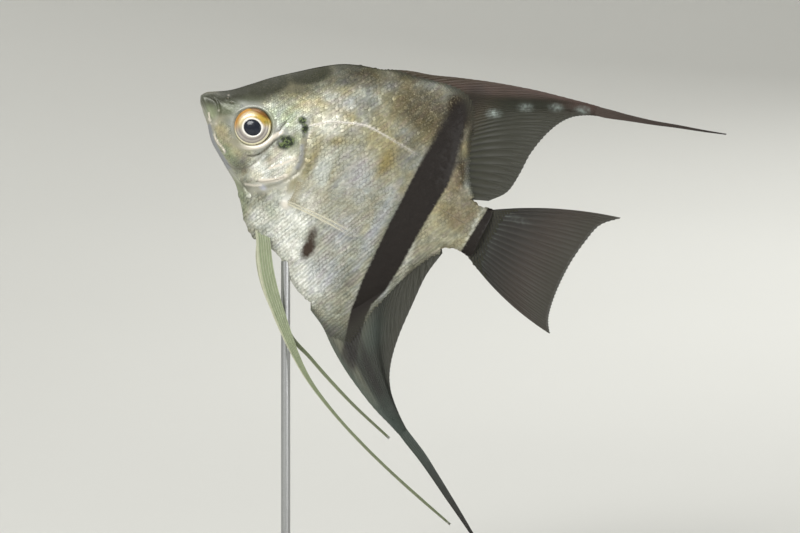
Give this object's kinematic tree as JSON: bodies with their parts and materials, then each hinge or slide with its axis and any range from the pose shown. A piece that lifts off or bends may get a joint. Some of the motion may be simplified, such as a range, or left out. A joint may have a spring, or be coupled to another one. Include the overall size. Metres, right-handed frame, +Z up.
{
  "type": "freshwater angelfish model",
  "caption": "Life-size still model of a striped silver freshwater angelfish with long streaming fins, held nose-up by a slim rod on a flat wooden base.",
  "frame": {"origin": "centre of the underside of the stand's base", "axes": "+X runs from the fish's head towards its tail along the base, +Y to the fish's right, so that its left flank faces -Y, and +Z up"},
  "size_m": [0.1595, 0.058, 0.1468],
  "materials": {
    "skin": "wet silver scaled skin",
    "fin": "thin grey fin membrane over fine rays",
    "eye": "wet eye, gold and silver iris round a dark pupil",
    "stand_wood": "dark stained, satin",
    "stand_steel": "satin"
  },
  "bodies": {
    "root": {"anal_fin_front": "fin", "anal_fin_sail": "fin", "anal_fin_streamer": "fin", "dorsal_fin_front": "fin", "dorsal_fin_sail": "fin", "dorsal_fin_streamer": "fin", "eye_left": "eye", "eye_right": "eye", "gill_cover_left": "skin", "gill_cover_right": "skin", "head": "skin", "lower_jaw": "skin", "pectoral_fin_left": "fin", "pectoral_fin_right": "fin", "pelvic_fin_left": "fin", "pelvic_fin_right": "fin", "pelvic_streamer_left": "fin", "pelvic_streamer_right": "fin", "stand_base": "stand_wood", "stand_collar": "stand_steel", "stand_rod": "stand_steel", "tail_fin_lower": "fin", "tail_fin_upper": "fin", "tail_stalk": "skin", "trunk": "skin"}
  },
  "joints": []
}
